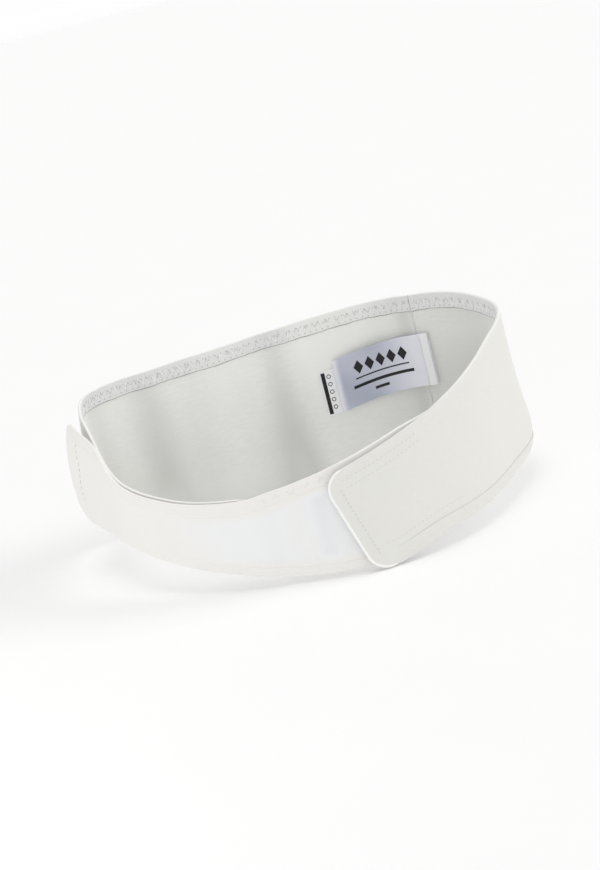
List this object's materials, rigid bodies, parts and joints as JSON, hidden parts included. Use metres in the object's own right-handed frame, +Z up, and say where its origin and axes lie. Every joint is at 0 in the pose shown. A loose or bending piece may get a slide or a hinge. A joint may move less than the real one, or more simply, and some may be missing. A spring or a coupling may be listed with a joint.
{
  "type": "maternity support belt",
  "caption": "Soft fabric support belt closed into a standing loop, tall at the back and low at the front, with a hook-and-loop tab and front panel.",
  "frame": {"origin": "centre of the belt's box, on the floor that it stands on", "axes": "+Z up, +X to the side that the tab comes from, along the loop's longest extent, +Y to the tall back, -Y to the low front"},
  "size_m": [0.3334, 0.237, 0.1302],
  "materials": {
    "belt_cloth": "off-white fine knit, matt, with a soft sheen",
    "hem_cloth": "off-white turned hem, zigzag stitched, matt",
    "loop_pile": "cool white brushed loop pile, matt",
    "hook_tape": "off-white hook tape, slightly rough",
    "label_satin": "pale lilac-white woven satin with a soft gloss"
  },
  "bodies": {
    "root": {"left_band": "belt_cloth", "left_top_hem": "hem_cloth", "left_bottom_hem": "hem_cloth", "right_band": "belt_cloth", "right_top_hem": "hem_cloth", "right_bottom_hem": "hem_cloth", "front_panel": "belt_cloth", "panel_top_hem": "hem_cloth", "panel_bottom_hem": "hem_cloth", "loop_patch": "loop_pile", "tab_hook_patch": "hook_tape", "panel_hook_patch": "hook_tape", "main_label": "label_satin", "label_fold": "label_satin", "care_label": "label_satin"}
  },
  "joints": []
}
